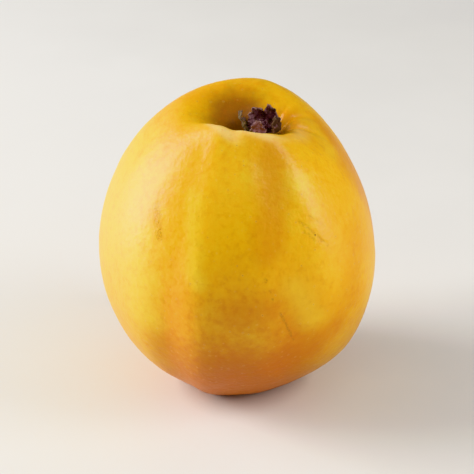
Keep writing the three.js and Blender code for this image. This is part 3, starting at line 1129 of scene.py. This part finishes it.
class QUINCE_OT_stalk(bpy.types.Operator):
    """Makes the woody stub in the stem cavity"""

    bl_idname = "quince.stalk"
    bl_label = "Stalk stub"

    def execute(self, context):
        steps, around = STALK_CELLS
        grid, share = revolved(STALK, steps, around)
        grid[..., 0] *= 1 + STALK_OVAL
        grid[..., 1] *= 1 - STALK_OVAL
        fibre_size, fibre_depth = STALK_FIBRES
        fibres = roughness_at(grid * STALK_FIBRES_STRETCH, fibre_size, 31).reshape(grid.shape[:2])
        knob_size, knob_depth = STALK_KNOBS
        knobs = roughness_at(grid, knob_size, 32).reshape(grid.shape[:2])
        shrink = 1 - fibre_depth * (1 + fibres) - knob_depth * (1 + knobs)
        grid[..., :2] *= shrink[..., None]
        torn = 1 - smooth_step(share, *STALK_TORN)
        grown = smooth_step(share, *STALK_TEAR_GROWS)
        grid[..., 2] += STALK_TEAR * torn[:, None] * (1 + fibres) * grown[:, None]
        rings = closed_rows(grid)
        faces = ring_faces(steps - 1, around)
        finish = bark_finish(context.scene.quince.stalk)
        piece = new_piece("stalk_stub", on_axis(rings, (0, 0, 0)), faces, finish)
        write_field(piece, "torn", closed_rows(np.repeat(torn[:, None], around, 1)))
        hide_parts("stalk")
        return {"FINISHED"}


def hair_points(root, direction, side, length):
    """A tapering, slightly curved hair with three sides: three rings and a tip."""
    up = direction / np.linalg.norm(direction)
    side = side - up * (side @ up)
    side /= np.linalg.norm(side)
    cross = np.cross(up, side)
    rows = []
    for share in HAIR_LEVELS:
        centre = root + up * length * share + side * length * HAIR_CURL * share**2
        for corner in range(3):
            angle = corner * HAIR_TURN
            spoke = math.cos(angle) * side + math.sin(angle) * cross
            rows.append(centre + spoke * HAIR_RADIUS * (1 - share))
    rows.append(root + up * length + side * length * HAIR_CURL)
    return rows


def hair_faces(start):
    faces = []
    for level in (0, 3):
        for i in range(3):
            j = (i + 1) % 3
            low = start + level
            faces.append((low + i, low + j, low + 3 + j, low + 3 + i))
    for i in range(3):
        faces.append((start + 6 + i, start + 6 + (i + 1) % 3, start + 9))
    faces.append((start + 2, start + 1, start))
    return faces


def vertex_vectors(mesh, name):
    """A property of three numbers of every vertex, as rows."""
    values = np.zeros(len(mesh.vertices) * 3)
    mesh.vertices.foreach_get(name, values)
    return values.reshape(-1, 3)


class QUINCE_OT_down(bpy.types.Operator):
    """Leaves some down round the calyx and in the stem cavity"""

    bl_idname = "quince.down"
    bl_label = "Down"

    def execute(self, context):
        settings = context.scene.quince.down
        skin = context.scene.objects["skin"].data
        draw = np.random.default_rng(17)
        vertices = vertex_vectors(skin, "co") / MM
        normals = vertex_vectors(skin, "normal")
        weight = np.zeros(len(vertices))
        for name, share in DOWN_PLACES:
            values = np.zeros(len(vertices), np.float32)
            skin.attributes[name].data.foreach_get("value", values)
            weight += share * values**DOWN_GATHERS
        # vertices that crowd together each get fewer hairs
        weight *= np.linalg.norm(np.roll(vertices, 1, 0) - vertices, axis=1)
        chosen = draw.choice(len(vertices), settings.count, p=weight / weight.sum())
        points, faces = [], []
        for index in chosen:
            normal = normals[index]
            root = vertices[index] + draw.normal(0, HAIR_SCATTER, 3) * (1 - np.abs(normal))
            lay = draw.normal(0, HAIR_LAY, 3)
            length = settings.length / MM * draw.uniform(HAIR_SHORTEST, 1.0)
            side = draw.normal(0, 1, 3)
            faces += hair_faces(len(points))
            points += hair_points(root - normal * HAIR_SUNK, normal + lay, side, length)
        points = np.array(points)
        points[:, 2] = np.maximum(points[:, 2], OFF_THE_GROUND)
        new_piece("down", points, faces, down_finish(settings))
        return {"FINISHED"}


# ---- the stage ----
def add_light(name, direction, distance, size, power, colour, aim):
    """A soft rectangular light that looks at the fruit."""
    light = bpy.data.lights.new(name, "AREA")
    light.shape = "RECTANGLE"
    light.size, light.size_y = size
    light.energy = power
    light.color = colour
    lamp = bpy.data.objects.new(name, light)
    towards = Vector(direction).normalized()
    lamp.location = aim + towards * distance
    lamp.rotation_euler = (-towards).to_track_quat("-Z", "Y").to_euler()
    bpy.context.scene.collection.objects.link(lamp)


class QUINCE_OT_stage(bpy.types.Operator):
    """Sets the floor, the soft lights and the camera"""

    bl_idname = "quince.stage"
    bl_label = "Stage"

    def execute(self, context):
        scene = context.scene
        settings = scene.quince.stage
        mesh = bpy.data.meshes.new("studio_floor")
        reach = FLOOR_REACH
        corners = [(-reach, -reach, 0), (reach, -reach, 0), (reach, reach, 0), (-reach, reach, 0)]
        mesh.from_pydata(corners, [], [(0, 1, 2, 3)])
        mesh.materials.append(floor_finish(settings))
        floor = bpy.data.objects.new("studio_floor", mesh)
        scene.collection.objects.link(floor)

        low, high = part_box("fruit")
        middle = Vector((0, 0, (low.z + high.z) / 2))
        for name, direction, distance, size, power, colour in LIGHTS:
            add_light(name, direction, distance, size, getattr(settings, power), colour, middle)

        world = bpy.data.worlds.new("studio_room")
        world.use_nodes = True
        background = world.node_tree.nodes["Background"]
        background.inputs["Color"].default_value = opaque(ROOM_COLOUR)
        background.inputs["Strength"].default_value = settings.room
        scene.world = world
        scene.view_settings.view_transform = "Khronos PBR Neutral"

        camera = bpy.data.cameras.new("camera")
        camera.lens = settings.focal_length
        camera.clip_start = 0.01
        back = Vector((0, -math.cos(settings.elevation), math.sin(settings.elevation)))
        viewer = bpy.data.objects.new("camera", camera)
        viewer.location = middle + back * settings.distance
        viewer.rotation_euler = (-back).to_track_quat("-Z", "Y").to_euler()
        scene.collection.objects.link(viewer)
        scene.camera = viewer
        return {"FINISHED"}


SKIN_NAMES = ("golden", "lemon", "ochre", "umber", "cream", "russet", "speck", "pore_spacing", "roughness")
STAGE_NAMES = ("floor", "key", "strip", "top", "room", "elevation", "distance", "focal_length")


class QUINCE_PT_panel(bpy.types.Panel):
    """Lists the quince's pieces and settings"""

    bl_idname = "QUINCE_PT_panel"
    bl_label = "Quince"
    bl_space_type = "VIEW_3D"
    bl_region_type = "UI"
    bl_category = "Quince"

    def draw(self, context):
        settings = context.scene.quince
        parts = (
            (settings.skin, SKIN_NAMES, QUINCE_OT_skin),
            (settings.calyx, ("bark", "mauve", "olive", "thickness"), QUINCE_OT_calyx),
            (settings.stalk, ("bark", "wood"), QUINCE_OT_stalk),
            (settings.down, ("colour", "count", "length"), QUINCE_OT_down),
            (settings.stage, STAGE_NAMES, QUINCE_OT_stage),
        )
        for group, names, operator in parts:
            box = self.layout.box()
            for name in names:
                box.prop(group, name)
            box.operator(operator.bl_idname)


CLASSES = (
    QuinceSkinSettings,
    QuinceCalyxSettings,
    QuinceStalkSettings,
    QuinceDownSettings,
    QuinceStageSettings,
    QuinceSettings,
    QUINCE_OT_skin,
    QUINCE_OT_calyx,
    QUINCE_OT_stalk,
    QUINCE_OT_down,
    QUINCE_OT_stage,
    QUINCE_PT_panel,
)


def register():
    for each in CLASSES:
        bpy.utils.register_class(each)
    bpy.types.Scene.quince = PointerProperty(type=QuinceSettings)


def unregister():
    del bpy.types.Scene.quince
    for each in reversed(CLASSES):
        bpy.utils.unregister_class(each)


def main():
    register()
    bpy.ops.quince.skin()
    bpy.ops.quince.calyx()
    bpy.ops.quince.stalk()
    bpy.ops.quince.down()
    bpy.ops.quince.stage()


if __name__ == "__main__":
    main()
